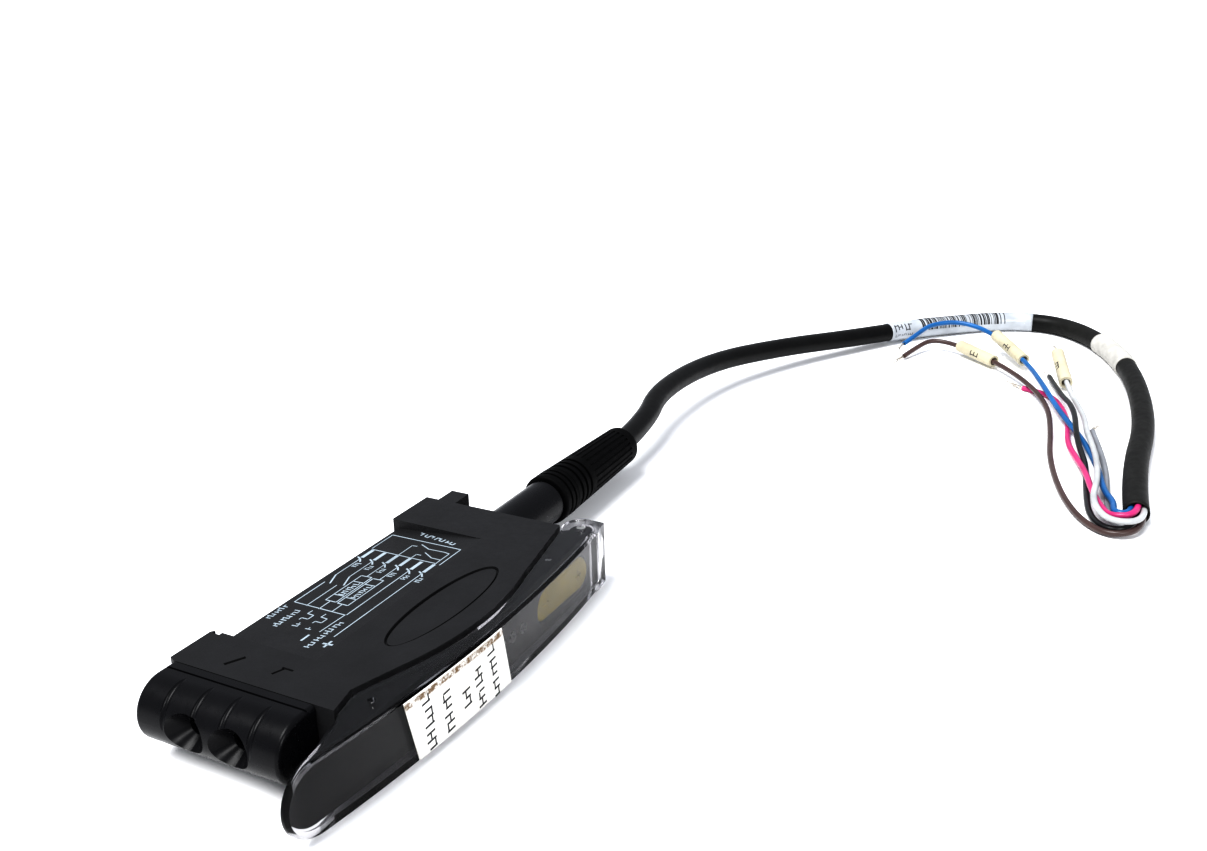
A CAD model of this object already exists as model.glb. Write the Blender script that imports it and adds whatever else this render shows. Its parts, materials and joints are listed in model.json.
import json
import random
from bisect import bisect
from math import cos, pi, radians, sin

import bmesh
import bpy
from mathutils import Matrix, Vector

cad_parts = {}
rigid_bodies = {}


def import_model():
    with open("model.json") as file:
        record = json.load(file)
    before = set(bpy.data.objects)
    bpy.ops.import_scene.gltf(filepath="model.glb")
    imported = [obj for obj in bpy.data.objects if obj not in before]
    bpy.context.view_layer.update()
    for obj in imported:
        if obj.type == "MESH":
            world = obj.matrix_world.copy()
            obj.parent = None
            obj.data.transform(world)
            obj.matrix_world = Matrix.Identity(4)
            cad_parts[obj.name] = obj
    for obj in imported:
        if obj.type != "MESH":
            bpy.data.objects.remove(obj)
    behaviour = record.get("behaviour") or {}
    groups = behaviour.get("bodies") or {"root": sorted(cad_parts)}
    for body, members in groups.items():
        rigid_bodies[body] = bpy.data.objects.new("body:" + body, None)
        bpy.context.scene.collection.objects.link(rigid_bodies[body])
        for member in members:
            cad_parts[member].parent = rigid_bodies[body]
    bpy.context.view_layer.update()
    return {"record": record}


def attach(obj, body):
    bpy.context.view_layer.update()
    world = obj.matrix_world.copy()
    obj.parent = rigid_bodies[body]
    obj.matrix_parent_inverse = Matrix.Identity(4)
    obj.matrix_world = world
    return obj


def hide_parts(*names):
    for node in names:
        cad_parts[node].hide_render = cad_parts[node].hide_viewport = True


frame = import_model()
MM = 0.001
scene = bpy.context.scene


# ---- camera, at the height and angle of a hand-held close-up -------------
def aim_camera():
    azimuth, elevation, roll = radians(-61.627), radians(20.94), radians(-1.373)
    back = Vector((sin(azimuth) * cos(elevation), -cos(azimuth) * cos(elevation), sin(elevation)))
    right = (-back).cross(Vector((0, 0, 1))).normalized()
    up = right.cross(-back)
    level = Matrix((right, up, back)).transposed()
    camera_data = bpy.data.cameras.new("camera")
    camera_data.lens = 37.81
    camera_data.sensor_width = 36.0
    camera_data.clip_start = 0.005
    camera = bpy.data.objects.new("camera", camera_data)
    turn = Matrix.Rotation(roll, 3, "Z")
    camera.matrix_world = Matrix.Translation(Vector((-115.4, -94.9, 90.7)) * MM) @ (level @ turn).to_4x4()
    scene.collection.objects.link(camera)
    scene.camera = camera


aim_camera()


# ---- node helpers --------------------------------------------------------
class Nodes:
    """A material's node tree, with short calls for the nodes used here."""

    def __init__(self, name):
        self.material = bpy.data.materials.new(name)
        self.material.use_nodes = True
        self.tree = self.material.node_tree
        self.shader = self.tree.nodes["Principled BSDF"]
        self.coords = self.tree.nodes.new("ShaderNodeTexCoord")

    def link(self, out, into):
        self.tree.links.new(out, into)
        return out

    def noise(self, scale, detail=4.0, rough=0.5, vector=None, distortion=0.0):
        node = self.tree.nodes.new("ShaderNodeTexNoise")
        node.inputs["Scale"].default_value = scale
        node.inputs["Detail"].default_value = detail
        node.inputs["Roughness"].default_value = rough
        node.inputs["Distortion"].default_value = distortion
        self.link(vector or self.coords.outputs["Object"], node.inputs["Vector"])
        return node.outputs["Fac"]

    def axis(self, letter, source="Object"):
        node = self.tree.nodes.new("ShaderNodeSeparateXYZ")
        self.link(self.coords.outputs[source], node.inputs["Vector"])
        return node.outputs[letter]

    def ramp(self, value, low, high, at=(0.0, 1.0)):
        node = self.tree.nodes.new("ShaderNodeValToRGB")
        for element, place, colour in zip(node.color_ramp.elements, at, (low, high)):
            element.position = place
            if not hasattr(colour, "__len__"):
                colour = (colour,) * 3
            element.color = (*colour, 1.0)
        self.link(value, node.inputs["Fac"])
        return node.outputs["Color"]

    def spread(self, value, low, high, source=(0.3, 0.7)):
        node = self.tree.nodes.new("ShaderNodeMapRange")
        node.inputs["From Min"].default_value, node.inputs["From Max"].default_value = source
        node.inputs["To Min"].default_value, node.inputs["To Max"].default_value = low, high
        self.link(value, node.inputs["Value"])
        return node.outputs["Result"]

    def mix(self, share, first, second, blend="MIX"):
        node = self.tree.nodes.new("ShaderNodeMix")
        node.data_type = "RGBA"
        node.blend_type = blend
        for key, value in (("Factor", share), ("A", first), ("B", second)):
            self.put(node.inputs[key], value)
        return node.outputs["Result"]

    def put(self, socket, value):
        if isinstance(value, bpy.types.NodeSocket):
            self.link(value, socket)
        elif hasattr(value, "__len__") and len(value) == 3:
            socket.default_value = (*value, 1.0)
        else:
            socket.default_value = value

    def math(self, operation, first, second=0.0):
        node = self.tree.nodes.new("ShaderNodeMath")
        node.operation = operation
        self.put(node.inputs[0], first)
        self.put(node.inputs[1], second)
        return node.outputs["Value"]

    def bump(self, height, strength, depth, chain=None):
        node = self.tree.nodes.new("ShaderNodeBump")
        node.inputs["Strength"].default_value = strength
        node.inputs["Distance"].default_value = depth
        self.link(height, node.inputs["Height"])
        if chain:
            self.link(chain, node.inputs["Normal"])
        self.link(node.outputs["Normal"], self.shader.inputs["Normal"])
        return node.outputs["Normal"]

    def set(self, **values):
        for key, value in values.items():
            self.put(self.shader.inputs[key.replace("_", " ")], value)


# ---- materials -----------------------------------------------------------
def moulded(name, colour, rough=(0.45, 0.6), grain=9000.0, depth=0.00002, strength=0.35,
            specular=0.5, dust=0.0):
    """Moulded plastic: spark-eroded grain, slow gloss changes, faint handling dust."""
    n = Nodes(name)
    slow = n.noise(180.0, 3.0)
    patchy = n.noise(700.0, 5.0, 0.65)
    low = tuple(c * 0.85 for c in colour)
    high = tuple(min(1.0, c * 1.18) for c in colour)
    base = n.ramp(slow, low, high, (0.3, 0.7))
    if dust:
        specks = n.ramp(n.noise(2600.0, 6.0, 0.8), 0.0, 1.0, (0.62, 0.78))
        base = n.mix(n.math("MULTIPLY", specks, dust), base, (0.35, 0.34, 0.32))
    n.set(Base_Color=base, Roughness=n.spread(patchy, *rough), Specular_IOR_Level=specular)
    n.bump(n.noise(grain, 3.0, 0.6), strength, depth)
    return n.material


def clear(name, colour, rough=0.05, specular=0.5, mirror=1.0, ior=1.49):
    """Clear or tinted plastic with light scuffs."""
    n = Nodes(name)
    scuffs = n.noise(900.0, 6.0, 0.75)
    n.set(Base_Color=n.ramp(n.noise(120.0), tuple(c * 0.94 for c in colour), colour, (0.35, 0.65)),
          Roughness=n.spread(scuffs, rough, rough + 0.07), IOR=ior, Transmission_Weight=1.0,
          Specular_IOR_Level=specular, Specular_Tint=(mirror,) * 3)
    n.bump(n.noise(300.0, 2.0), 0.03, 0.00005)
    return n.material


def metal(name, colour, rough=(0.22, 0.38)):
    n = Nodes(name)
    n.set(Base_Color=n.ramp(n.noise(400.0), tuple(c * 0.8 for c in colour), colour, (0.3, 0.7)),
          Metallic=1.0, Roughness=n.spread(n.noise(1500.0, 5.0), *rough))
    n.bump(n.noise(6000.0, 2.0), 0.15, 0.00001)
    return n.material


def paper_label():
    """Aged label stock with a dotted brown glue stain along its upper edge."""
    n = Nodes("paper_stock")
    fibres = n.noise(1500.0, 5.0, 0.7)
    base = n.ramp(n.noise(220.0), (0.66, 0.64, 0.60), (0.78, 0.77, 0.74), (0.3, 0.7))
    away = n.math("ABSOLUTE", n.math("SUBTRACT", n.axis("Z"), 0.0090))
    line = n.spread(away, 1.0, 0.0, (0.0003, 0.0006))
    dots = n.spread(n.noise(1400.0, 4.0, 0.8), 0.0, 1.0, (0.38, 0.56))
    n.set(Base_Color=n.mix(n.math("MULTIPLY", line, dots), base, (0.16, 0.1, 0.05)),
          Roughness=n.spread(fibres, 0.7, 0.85), Specular_IOR_Level=0.2)
    n.bump(fibres, 0.5, 0.00003)
    return n.material


def cord_rubber():
    """Cord jacket: glossy near the plug, scuffed and greyer past its bend."""
    n = Nodes("jacket_rubber")
    slow = n.noise(260.0, 4.0, 0.6)
    worn = n.spread(n.axis("Y"), 1.0, 0.0, (-0.056, -0.046))
    dull = n.math("MULTIPLY", worn, n.spread(slow, 0.55, 1.0))
    clean = n.ramp(slow, (0.003, 0.003, 0.003), (0.006, 0.006, 0.0058), (0.3, 0.7))
    base = n.mix(dull, clean, (0.018, 0.018, 0.0165))
    gloss = n.spread(n.noise(700.0, 5.0, 0.65), 0.3, 0.42)
    n.set(Base_Color=base, Roughness=n.math("ADD", gloss, n.math("MULTIPLY", worn, 0.18)),
          Specular_IOR_Level=0.15)
    n.bump(n.noise(2600.0, 3.0, 0.6), 0.3, 0.00003)
    return n.material


def woven_tape():
    """Cloth tape: fine crossing threads, a few of them raised."""
    n = Nodes("tape_cloth")
    weave = n.math("MULTIPLY", n.math("SINE", n.math("MULTIPLY", n.axis("X", "UV"), 290.0)),
                   n.math("SINE", n.math("MULTIPLY", n.axis("Y", "UV"), 240.0)))
    n.set(Base_Color=n.ramp(n.noise(500.0, 5.0), (0.42, 0.41, 0.385), (0.52, 0.51, 0.48), (0.3, 0.65)),
          Roughness=n.spread(weave, 0.75, 0.9, (-1.0, 1.0)), Specular_IOR_Level=0.2)
    n.bump(weave, 0.5, 0.00004)
    return n.material


CASE_BLACK = (0.010, 0.010, 0.011)
MATERIALS = {
    "case": moulded("case_plastic", CASE_BLACK, (0.5, 0.64), 5200.0, 0.00003, 0.4, 0.3, dust=0.05),
    "nose": moulded("nose_plastic", (0.004, 0.004, 0.005), (0.24, 0.34), 2500.0, 0.00001, 0.15, 0.15),
    "bezel": moulded("fascia_plastic", (0.006, 0.006, 0.007), (0.4, 0.52), 5000.0, 0.000005, 0.1, 0.15),
    "smoke": clear("smoked_plastic", (0.62, 0.615, 0.63), 0.05, 0.2, 0.12, 1.34),
    "paper": paper_label(),
    "rocker": moulded("button_plastic", (0.4, 0.3, 0.0), (0.4, 0.55), 4000.0, 0.00002, 0.3, 0.2),
    "steel": metal("plain_steel", (0.6, 0.6, 0.58)),
    "gold": metal("gold_flash", (0.85, 0.62, 0.28), (0.18, 0.3)),
    "board": moulded("board_laminate", (0.02, 0.12, 0.05), (0.3, 0.45), 2500.0),
    "chip": moulded("chip_package", (0.015, 0.015, 0.017), (0.55, 0.7), 4000.0),
    "lens": clear("clear_lens", (0.9, 0.92, 0.95), 0.02),
    "window": clear("tinted_window", (0.45, 0.05, 0.04), 0.03),
    "light": clear("light_pipe", (0.3, 0.34, 0.3), 0.25, 0.2),
    "plug": moulded("plug_rubber", (0.0018, 0.0018, 0.002), (0.5, 0.68), 3200.0, 0.00006, 0.6, 0.06),
    "jacket": cord_rubber(),
    "insert": moulded("insulator", (0.02, 0.02, 0.022)),
    "collet": moulded("collet_plastic", (0.16, 0.16, 0.17)),
    "print": moulded("cord_label_film", (0.40, 0.42, 0.44), (0.15, 0.3), 900.0, 0.00002, 0.2),
    "tape": woven_tape(),
    "tag": moulded("marker_sleeve", (0.50, 0.46, 0.34), (0.35, 0.5), 2000.0, 0.00002, 0.2),
    "copper": metal("tinned_copper", (0.78, 0.72, 0.62)),
    "ink": moulded("screen_ink", (0.34, 0.40, 0.44), (0.45, 0.6), 3000.0, 0.000005, 0.2, 0.3),
    "typed": moulded("typed_ink", (0.03, 0.03, 0.032), (0.6, 0.75), 3000.0, 0.000005, 0.2, 0.2),
    "brown": moulded("wire_brown_skin", (0.06, 0.034, 0.03), (0.3, 0.42), 2500.0, 0.00001, 0.2),
    "blue": moulded("wire_blue_skin", (0.004, 0.11, 0.3), (0.28, 0.4), 2500.0, 0.00001, 0.2),
    "pink": moulded("wire_pink_skin", (0.5, 0.03, 0.17), (0.28, 0.4), 2500.0, 0.00001, 0.2),
    "white": moulded("wire_white_skin", (0.44, 0.45, 0.45), (0.28, 0.4), 2500.0, 0.00001, 0.2),
    "grey": moulded("wire_grey_skin", (0.24, 0.25, 0.27), (0.28, 0.4), 2500.0, 0.00001, 0.2),
    "black": moulded("wire_black_skin", (0.01, 0.01, 0.011), (0.28, 0.4), 2500.0, 0.00001, 0.2),
}


def dress(obj, slot):
    """Gives a piece the material named for its slot."""
    obj.data.materials.clear()
    obj.data.materials.append(MATERIALS[slot])


for entry in frame["record"]["subparts"]:
    for slot in bpy.data.objects[entry["node"]].material_slots:
        slot.material = MATERIALS[entry["material_slot"]]


# ---- cords: the same routes as the CAD, in metres ------------------------
CORD_ROUTE = [(70.0, 3.3, 5.6), (84.0, 3.9, 6.0), (97.2, 7.4, 7.6), (120.7, 6.6, 6.6),
              (142.0, -1.6, 4.8), (159.8, -12.1, 3.2), (177.6, -23.4, 2.3), (194.0, -42.8, 2.15),
              (191.8, -57.5, 2.2), (170.4, -71.1, 2.15), (134.6, -78.9, 2.18), (105.6, -79.6, 2.15),
              (89.0, -82.2, 2.1)]
WIRE_ROUTES = {
    "brown": [(90.2, -83.15, 1.55), (84.8, -83.7, 1.4), (81.6, -79.6, 0.8), (85.2, -74.6, 0.6),
              (95.0, -69.6, 0.6), (110.5, -65.0, 0.6), (124.5, -62.9, 0.6), (137.0, -60.2, 1.2),
              (147.6, -54.6, 1.8), (159.0, -45.8, 1.8), (167.4, -34.8, 2.3), (168.6, -28.6, 2.5),
              (163.4, -26.2, 1.5), (158.6, -25.0, 0.9)],
    "blue": [(90.2, -81.25, 2.65), (86.4, -81.4, 3.0), (86.0, -78.9, 2.9), (91.4, -78.4, 2.4),
             (96.4, -76.2, 2.0), (106.6, -74.0, 1.5), (115.0, -71.4, 1.3), (121.5, -69.0, 1.2),
             (127.6, -65.6, 1.8), (135.0, -61.9, 2.3), (146.0, -57.2, 3.0), (159.7, -51.8, 2.4),
             (172.6, -41.8, 4.4), (176.0, -33.6, 5.4), (172.4, -27.4, 5.0), (166.6, -25.6, 3.8),
             (162.0, -24.0, 2.8)],
    "pink": [(90.2, -82.2, 3.2), (85.2, -82.5, 3.5), (84.6, -78.6, 2.8), (88.8, -76.8, 2.3),
             (95.0, -74.6, 1.9), (103.9, -72.2, 1.8), (111.9, -69.5, 1.0), (120.0, -66.6, 0.6),
             (130.4, -65.2, 0.6), (140.0, -62.4, 0.6), (146.6, -58.6, 0.6), (148.2, -53.2, 0.55)],
    "white": [(90.2, -83.15, 2.65), (84.4, -83.9, 2.9), (82.4, -78.6, 2.8), (88.6, -75.2, 3.2),
              (98.5, -74.8, 3.1), (109.0, -73.2, 2.6), (117.0, -71.2, 2.5), (123.4, -69.4, 2.3),
              (133.0, -67.8, 1.4), (141.6, -64.8, 1.4), (149.6, -61.8, 1.7), (164.4, -57.0, 4.6)],
    "grey": [(90.2, -81.25, 1.55), (87.0, -81.3, 1.7), (86.4, -79.2, 1.4), (91.0, -77.6, 1.0),
             (98.0, -76.6, 0.6), (108.0, -75.2, 0.6), (118.4, -72.8, 0.6), (128.0, -70.0, 0.6)],
    "black": [(90.2, -82.2, 1.0), (85.4, -82.2, 1.0), (83.6, -78.6, 0.8), (88.0, -75.2, 0.6),
              (98.0, -73.2, 0.6), (110.6, -71.4, 0.6), (117.4, -69.0, 1.4), (122.4, -67.6, 2.7),
              (128.0, -66.6, 3.2), (134.0, -64.8, 3.4), (141.0, -62.2, 2.4), (149.0, -59.4, 1.8),
              (156.0, -57.2, 1.2)],
}
CORD_R = 2.05 * MM
WIRE_R = 0.52 * MM


def metres(route):
    return [Vector(point) * MM for point in route]


def spline_curve(name, route, bevel=0.0):
    """Open NURBS curve through a route's control points."""
    data = bpy.data.curves.new(name, "CURVE")
    data.dimensions = "3D"
    data.resolution_u = 24
    data.bevel_depth = bevel
    data.bevel_resolution = 6
    data.use_fill_caps = bevel > 0
    spline = data.splines.new("NURBS")
    points = metres(route)
    spline.points.add(len(points) - 1)
    for point, place in zip(spline.points, points):
        point.co = (*place, 1.0)
    spline.order_u = 3
    spline.use_endpoint_u = True
    obj = bpy.data.objects.new(name, data)
    scene.collection.objects.link(obj)
    return obj


def spine(route):
    """Points along a route's smooth line, read from its spline."""
    guide = spline_curve("guide", route)
    mesh = bpy.data.meshes.new_from_object(guide)
    points = [vertex.co.copy() for vertex in mesh.vertices]
    bpy.data.objects.remove(guide)
    bpy.data.meshes.remove(mesh)
    return points


def tube_rings(points):
    """A steady frame of two directions at each point of a line."""
    rings = []
    side = Vector((0, 0, 1))
    for index, point in enumerate(points):
        ahead = (points[min(index + 1, len(points) - 1)] - points[max(index - 1, 0)]).normalized()
        side = (side - ahead * side.dot(ahead)).normalized()
        rings.append((point, side, ahead.cross(side)))
    return rings


def new_mesh(name, bm, slot, smooth=True):
    mesh = bpy.data.meshes.new(name)
    bm.to_mesh(mesh)
    bm.free()
    for polygon in mesh.polygons:
        polygon.use_smooth = smooth
    obj = bpy.data.objects.new(name, mesh)
    scene.collection.objects.link(obj)
    dress(obj, slot)
    return obj


def add_ring(bm, ring, radius, around):
    point, side, across = ring
    loop = []
    for k in range(around):
        turn = 2 * pi * k / around
        loop.append(bm.verts.new(point + side * (radius * cos(turn)) + across * (radius * sin(turn))))
    return loop


def bridge(bm, first, second):
    count = len(first)
    for k in range(count):
        bm.faces.new((first[k], first[(k + 1) % count], second[(k + 1) % count], second[k]))


def jacket_mesh():
    """Cord jacket with its cut end hollowed where the conductors come out."""
    points = spine(CORD_ROUTE)
    rings = tube_rings(points)
    bm = bmesh.new()
    loops = []
    rng = random.Random(4)
    for ring in rings:
        loops.append(add_ring(bm, ring, CORD_R * (1 + rng.uniform(-0.004, 0.004)), 36))
    for first, second in zip(loops, loops[1:]):
        bridge(bm, first, second)
    bm.faces.new(loops[0])
    lip = add_ring(bm, rings[-1], CORD_R * 0.87, 36)
    bridge(bm, loops[-1], lip)
    back = (points[-2] - points[-1]).normalized()
    deep = [bm.verts.new(vertex.co + back * 2.4 * MM) for vertex in lip]
    bridge(bm, lip, deep)
    bm.faces.new(deep[::-1])
    bmesh.ops.recalc_face_normals(bm, faces=bm.faces)
    return new_mesh("cord_jacket", bm, "jacket"), points


jacket, jacket_line = jacket_mesh()
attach(jacket, "case")
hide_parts("cable_jacket")
wires = {}
for colour, route in WIRE_ROUTES.items():
    wire = spline_curve(f"conductor_{colour}", route, WIRE_R)
    wire.data.materials.append(MATERIALS[colour])
    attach(wire, "case")
    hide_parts(f"wire_{colour}")
    wires[colour] = wire


def sleeve_mesh(name, points, start, end, radius, slot, around=48, wrinkle=0.0, thick=0.15):
    """Thin sleeve round part of a line, between two lengths along it, with UVs."""
    kept, run = [], 0.0
    for a, b in zip(points, points[1:]):
        steps = max(1, round((b - a).length / (0.5 * MM)))
        for k in range(steps):
            if start <= run <= end:
                kept.append(a.lerp(b, k / steps))
            run += (b - a).length / steps
    rings = tube_rings(kept)
    rng = random.Random(name)
    bm = bmesh.new()
    uv = bm.loops.layers.uv.new("UVMap")
    loops = []
    for ring in rings:
        swell = 1 + wrinkle * rng.uniform(0, 1)
        loops.append(add_ring(bm, ring, radius * swell, around))
    steps = len(loops) - 1
    for index, (first, second) in enumerate(zip(loops, loops[1:])):
        for k in range(around):
            face = bm.faces.new((first[k], first[(k + 1) % around], second[(k + 1) % around], second[k]))
            corners = ((index, k), (index, k + 1), (index + 1, k + 1), (index + 1, k))
            for loop, (u, v) in zip(face.loops, corners):
                loop[uv].uv = (u / steps, v / around)
    for rim, ring in ((loops[0], rings[0]), (loops[-1], rings[-1])):
        inner = add_ring(bm, ring, radius - thick * MM, around)
        bridge(bm, rim, inner)
    bmesh.ops.recalc_face_normals(bm, faces=bm.faces)
    return new_mesh(name, bm, slot)


class Ink:
    """Thin printed strokes laid on a surface: place(u, v) gives a point and its outward direction."""

    def __init__(self, place, depth=0.012, piece=2.0):
        self.bm = bmesh.new()
        self.place = place
        self.depth = depth
        self.piece = piece

    def stroke(self, start, end, width=0.18):
        start, end = Vector(start), Vector(end)
        run = end - start
        parts = max(1, round(run.length / self.piece))
        side = Vector((-run.y, run.x)).normalized() * (width / 2)
        rows = []
        for k in range(parts + 1):
            middle = start.lerp(end, k / parts)
            row = []
            for sign, lift in ((-1, 0.0), (-1, self.depth), (1, self.depth), (1, 0.0)):
                point, out = self.place(*(middle + side * sign))
                row.append(self.bm.verts.new((Vector(point) + Vector(out) * lift) * MM))
            rows.append(row)
        for first, second in zip(rows, rows[1:]):
            for k in range(3):
                self.bm.faces.new((first[k], first[k + 1], second[k + 1], second[k]))
        self.bm.faces.new(rows[0][::-1])
        self.bm.faces.new(rows[-1])

    def chain(self, *points, width=0.18, closed=False):
        for first, second in zip(points, points[1:] + (points[:1] if closed else ())):
            self.stroke(first, second, width)

    def greek(self, start, step, count, height, rng, width=0.2):
        """A word's worth of plain uneven ticks that spell nothing."""
        start, step = Vector(start), Vector(step)
        across = Vector((-step.y, step.x)).normalized()
        for k in range(count):
            foot = start + step * k + across * (height * rng.uniform(0.0, 0.15))
            top = foot + across * height * rng.uniform(0.55, 0.9)
            self.stroke(foot, top, width)
            if k % 3 != 2:
                level = foot.lerp(top, rng.choice((0.15, 0.5, 0.85)))
                self.stroke(level, level + step * 0.9, width * 0.8)

    def finish(self, name, slot):
        bmesh.ops.recalc_face_normals(self.bm, faces=self.bm.faces)
        return new_mesh(name, self.bm, slot, smooth=False)


def wrapped(points, radius):
    """Places marks on a round tube: u runs along it and v runs round it from the top, in mm."""
    rings = tube_rings(points)
    runs = [0.0]
    for a, b in zip(points, points[1:]):
        runs.append(runs[-1] + (b - a).length / MM)

    def place(u, v):
        index = max(0, min(bisect(runs, u) - 1, len(rings) - 2))
        share = (u - runs[index]) / (runs[index + 1] - runs[index])
        first, second = rings[index], rings[index + 1]
        middle, side, across = (a.lerp(b, share) for a, b in zip(first, second))
        out = (side * cos(v / radius) + across * sin(v / radius)).normalized()
        return middle / MM + out * radius, out

    return place


LABEL_START = 105.1     # run along the cord where its label begins, in mm
cord_label = sleeve_mesh("cord_label", jacket_line, LABEL_START * MM, 143.8 * MM, CORD_R + 0.16 * MM,
                         "print", wrinkle=0.008)
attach(cord_label, "case")
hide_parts("cable_label")
tape = sleeve_mesh("tape_turns", jacket_line, 165.2 * MM, 182.6 * MM, CORD_R + 0.2 * MM, "tape", wrinkle=0.06)
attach(tape, "case")
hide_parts("tape_wrap")

# Splayed strands past each conductor's insulation.
STRAND_TIPS = {"brown": (152.4, -23.2, 0.5), "blue": (157.4, -23.0, 2.0), "pink": (151.4, -48.6, 0.5),
               "white": (168.2, -55.6, 4.9), "grey": (132.0, -69.8, 0.5), "black": (160.2, -55.8, 0.8)}


def strand_bundle(colour, line):
    """Nine fine strands that twist out of a conductor's end and splay."""
    rng = random.Random(colour)
    start, tip = line[-1], Vector(STRAND_TIPS[colour]) * MM
    run = tip - start
    side = run.cross(Vector((0, 0, 1))).normalized()
    bm = bmesh.new()
    for number in range(9):
        spread = rng.uniform(-0.32, 0.32)
        lift = rng.uniform(-0.02, 0.12)
        reach = rng.uniform(0.75, 1.15)
        path = []
        for step in range(9):
            t = step / 8
            point = start + run * (t * reach) + side * (run.length * spread * t * t)
            point.z += run.length * lift * t * t
            point += side * (0.2 * MM * sin(number + 3 * t)) + Vector((0, 0, 0.2 * MM * cos(number + 3 * t)))
            point.z = max(point.z, 0.08 * MM)
            path.append(point)
        loops = [add_ring(bm, ring, 0.045 * MM, 6) for ring in tube_rings(path)]
        for first, second in zip(loops, loops[1:]):
            bridge(bm, first, second)
        bm.faces.new(loops[0][::-1])
        bm.faces.new(loops[-1])
    bundle = new_mesh(f"strand_bundle_{colour}", bm, "copper")
    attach(bundle, "case")
    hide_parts(f"strands_{colour}")
    return bundle


# Plain bars and ticks on the cord's label, and three ticks on each marker sleeve.
rng = random.Random(11)
bars = Ink(wrapped(jacket_line, 2.235), 0.01, 0.35)
place = LABEL_START + 9.4
while place < LABEL_START + 31.5:
    width = rng.choice((0.14, 0.2, 0.3, 0.42))
    bars.stroke((place, -0.7), (place, 3.5), width)
    place += width / 2 + rng.choice((0.22, 0.3, 0.42, 0.6, 0.9 if place > 126 else 0.3))
bars.greek((106.3, 1.2), (1.05, 0), 5, 2.0, rng, 0.26)
bars.greek((106.3, 3.7), (0.62, 0), 9, 0.8, rng, 0.12)
label_bars = bars.finish("label_bars", "typed")
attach(label_bars, "case")
TAG_RUNS = {"brown": (9, 10, -2.5), "blue": (11, 12, -2.2), "white": (10, 11, -2.0)}
tag_marks = {}
for colour, (first, last, turn) in TAG_RUNS.items():
    ends = metres(WIRE_ROUTES[colour][first:last + 1])
    ticks = Ink(wrapped(ends, 1.355), 0.01, 0.35)
    middle = (ends[1] - ends[0]).length / MM / 2
    ticks.greek((middle - 1.4, turn), (1.1, 0), 3, 1.5, rng, 0.24)
    mark = ticks.finish(f"tag_mark_{colour}", "typed")
    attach(mark, "case")
    tag_marks[colour] = mark

for colour, wire in wires.items():
    line = spine(WIRE_ROUTES[colour])
    pieces = [strand_bundle(colour, line)]
    if colour in tag_marks:
        pieces += [bpy.data.objects[f"tag_{colour}"], tag_marks[colour]]


# ---- printing ------------------------------------------------------------
def printed_side(x, y):
    """Point on the printed side, which slopes towards the rail edge."""
    return (x, y, 10.5 - 0.0936 * max(0.0, y + 0.7) + 0.002), (0, 0, 1)


side_ink = Ink(printed_side)
side_ink.chain((14.1, 13.6), (19.0, 13.6), (17.2, 0.2), (11.9, 0.2))
side_ink.stroke((13.85, 13.5), (12.2, 0.9))
side_ink.chain((2.9, 13.1), (-3.36, 13.1), (-4.47, 3.7))
# Each terminal row of the diagram: its y and its left and right ends.
ROWS = [(13.05, 2.9, 13.6), (10.65, 2.5, 13.3), (8.2, 6.1, 13.0), (5.75, 5.6, 12.75), (3.4, -4.4, 12.2),
        (1.05, -9.8, 11.9)]
for y, left, right in ROWS:
    side_ink.stroke((right - 2.6, y), (right, y), 0.62)
    side_ink.chain((right - 3.9, y - 0.7), (right - 3.1, y - 0.1), (right - 2.5, y + 0.8), width=0.26)
    side_ink.stroke((max(left, 5.2) if y > 10 else left, y), (right - 3.0, y))
side_ink.stroke((-3.8, 10.67), (2.5, 10.67))
side_ink.stroke((-9.3, 3.8), (-4.4, 3.6))
for y in (13.05, 10.65):
    side_ink.stroke((2.7, y - 1.0), (5.2, y), 0.24)
for top, left in ((9.2, -1.6), (6.9, -1.95)):
    foot = top - 1.9
    side_ink.chain((left, top), (left + 7.6, top), (left + 7.5, foot), (left - 0.2, foot), closed=True)
    side_ink.stroke((left + 1.7, top), (left + 1.6, foot))
    side_ink.stroke((left + 5.8, top), (left + 5.7, foot))
    side_ink.stroke((-4.1, top - 0.9), (left - 0.1, top - 0.9))
side_ink.chain((13.0, 8.2), (16.5, 8.2), (16.5, 7.3))
side_ink.chain((12.75, 5.75), (14.1, 5.7), (14.0, 4.8))
side_ink.chain((11.9, 1.05), (15.5, 1.03), (15.8, 2.1), (16.1, 5.0), (17.2, 7.0))
side_ink.chain((13.4, 1.1), (13.65, 2.8), (14.95, 4.8))
for x, y in ((-7.3, 8.9), (-7.6, 6.4)):
    side_ink.chain((x, y), (x + 0.5, y - 0.05), (x + 0.4, y - 1.15), (x + 1.5, y - 1.2),
                   (x + 1.7, y), (x + 2.6, y - 0.1))
side_ink.stroke((-11.9, 4.6), (-10.3, 4.6), 0.34)
side_ink.stroke((-12.4, 0.55), (-10.8, 0.55), 0.34)
side_ink.stroke((-11.6, -0.25), (-11.6, 1.35), 0.34)
rng = random.Random(7)
side_ink.greek((-8.2, 12.9), (0.55, 0), 7, 1.3, rng)
side_ink.greek((-9.7, 10.3), (0.55, 0), 9, 1.3, rng)
side_ink.greek((-13.0, 2.2), (0.6, 0), 12, 1.2, rng)
side_ink.greek((0.3, 7.6), (0.52, 0), 7, 1.2, rng)
side_ink.greek((0.0, 5.3), (0.52, 0), 7, 1.2, rng)
side_ink.greek((-8.9, 7.7), (0.5, 0), 2, 1.2, rng)
side_ink.greek((-9.1, 5.3), (0.5, 0), 1, 1.2, rng)
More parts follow.
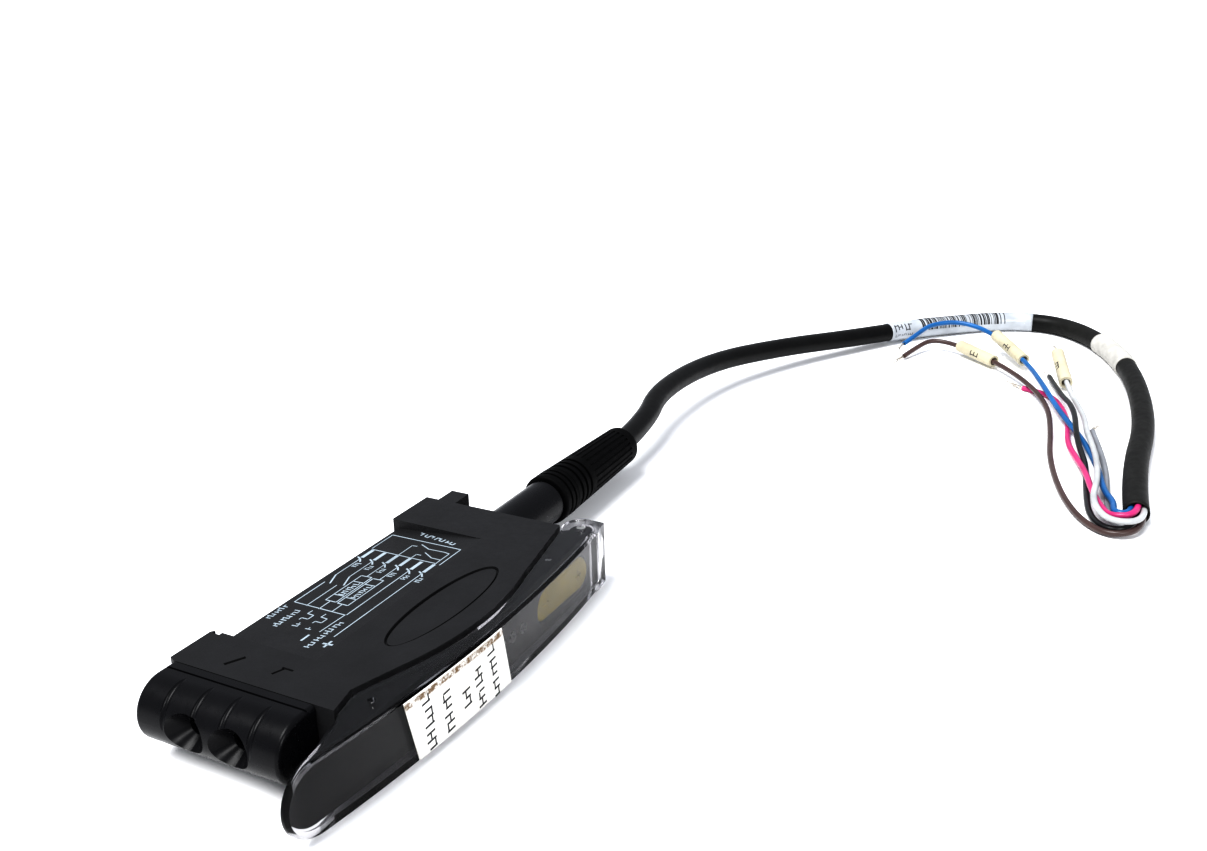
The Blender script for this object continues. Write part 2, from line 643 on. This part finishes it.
for x, y in ((8.2, 11.7), (7.9, 9.2), (7.6, 6.9), (6.9, 4.5), (6.7, 2.1), (6.5, -0.3)):
    side_ink.greek((x, y), (0.5, 0.0), 3, 1.1, rng)
side_ink.greek((19.0, 2.2), (0.2, 0.75), 10, 1.0, rng, 0.26)
side_print = side_ink.finish("side_print", "ink")
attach(side_print, "case")


CROWN_R = 235.0         # radius of the cover's crowned outer panel, in mm
CROWN_X = 3.0           # where the crown stands furthest out
PAPER_Y = -16.045       # face of the paper label at that place


def crown(x, z):
    """Point on the paper label's face, which follows the cover's crowned outer panel."""
    return (x, PAPER_Y + CROWN_R - (CROWN_R ** 2 - (x - CROWN_X) ** 2) ** 0.5, z), (0, -1, 0)


label_ink = Ink(crown, 0.01)
for x, count, z in ((-12.0, 7, 1.3), (-8.55, 6, 1.7), (-4.85, 3, 3.1), (-2.0, 6, 1.4), (1.2, 7, 1.0)):
    label_ink.greek((x, z), (-0.11, 1.1), count, 1.9, rng, 0.28)
label_print = label_ink.finish("label_print", "typed")
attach(label_print, "cover")

# ---- floor, lights -------------------------------------------------------
floor_mesh = bpy.data.meshes.new("floor")
floor_mesh.from_pydata([(-6, -6, 0), (6, -6, 0), (6, 6, 0), (-6, 6, 0)], [], [(0, 1, 2, 3)])
floor = bpy.data.objects.new("floor", floor_mesh)
floor.location.z = -0.00002
scene.collection.objects.link(floor)
paint = Nodes("floor_paint")
paint.set(Base_Color=(0.93, 0.93, 0.93), Roughness=1.0, Specular_IOR_Level=0.0)
floor_mesh.materials.append(paint.material)


def sun(name, azimuth, elevation, energy, angle):
    data = bpy.data.lights.new(name, "SUN")
    data.energy = energy
    data.angle = radians(angle)
    obj = bpy.data.objects.new(name, data)
    away = Vector((sin(radians(azimuth)) * cos(radians(elevation)),
                   -cos(radians(azimuth)) * cos(radians(elevation)), sin(radians(elevation))))
    obj.rotation_euler = away.to_track_quat("Z", "Y").to_euler()
    scene.collection.objects.link(obj)


def softbox(name, place, size, energy):
    data = bpy.data.lights.new(name, "AREA")
    data.shape = "RECTANGLE"
    data.size, data.size_y = size
    data.energy = energy
    obj = bpy.data.objects.new(name, data)
    obj.location = place
    aim = Vector((0.03, -0.02, 0.0)) - Vector(place)
    obj.rotation_euler = aim.to_track_quat("-Z", "Y").to_euler()
    scene.collection.objects.link(obj)


sun("key", -120.0, 62.0, 2.7, 34.0)
softbox("side_box", (-0.35, -0.45, 0.35), (0.25, 0.12), 1.2)
world = bpy.data.worlds.new("world")
world.use_nodes = True
world.node_tree.nodes["Background"].inputs["Color"].default_value = (0.9, 0.93, 1.0, 1.0)
world.node_tree.nodes["Background"].inputs["Strength"].default_value = 0.5
scene.world = world
scene.view_settings.view_transform = "Standard"
scene.view_settings.exposure = 0.75
scene.view_settings.gamma = 0.72
